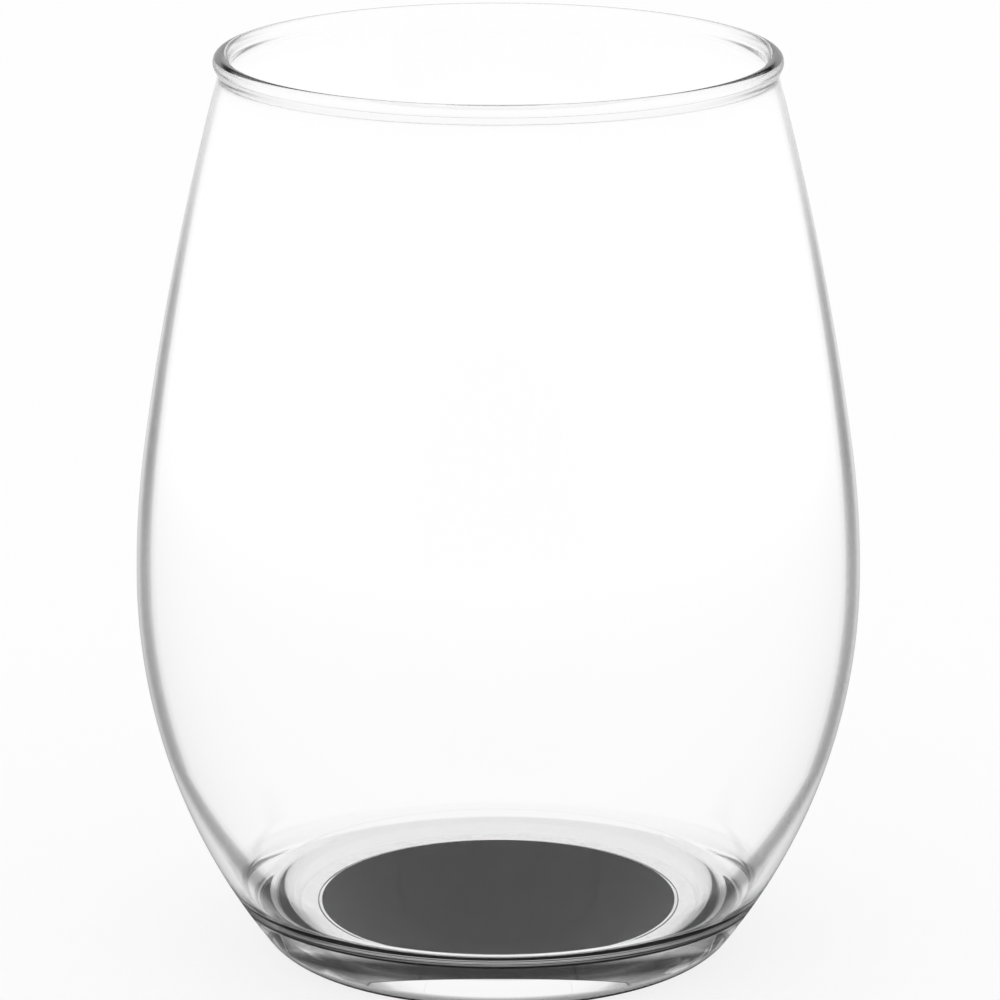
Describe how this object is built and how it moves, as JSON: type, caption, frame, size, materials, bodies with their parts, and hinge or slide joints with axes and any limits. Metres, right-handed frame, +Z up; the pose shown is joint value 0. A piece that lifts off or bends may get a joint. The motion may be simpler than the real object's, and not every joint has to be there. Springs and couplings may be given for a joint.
{
  "type": "stemless wine glass",
  "caption": "Clear stemless wine glass: a round bowl on a thick base, drawn in to a beaded drinking rim, with a dark disc under the base.",
  "frame": {"origin": "on the glass's axis, in the plane of the bearing ring that it stands on", "axes": "+Z up along the glass's axis of revolution; +X and +Y are alike, and -Y faces the picture's camera"},
  "size_m": [0.086, 0.086, 0.1087],
  "materials": {
    "clear_glass": "clear, polished",
    "dark_coat": "flat dark grey coat"
  },
  "bodies": {
    "root": {"glass_bowl": "clear_glass", "base_disc": "dark_coat"}
  },
  "joints": []
}
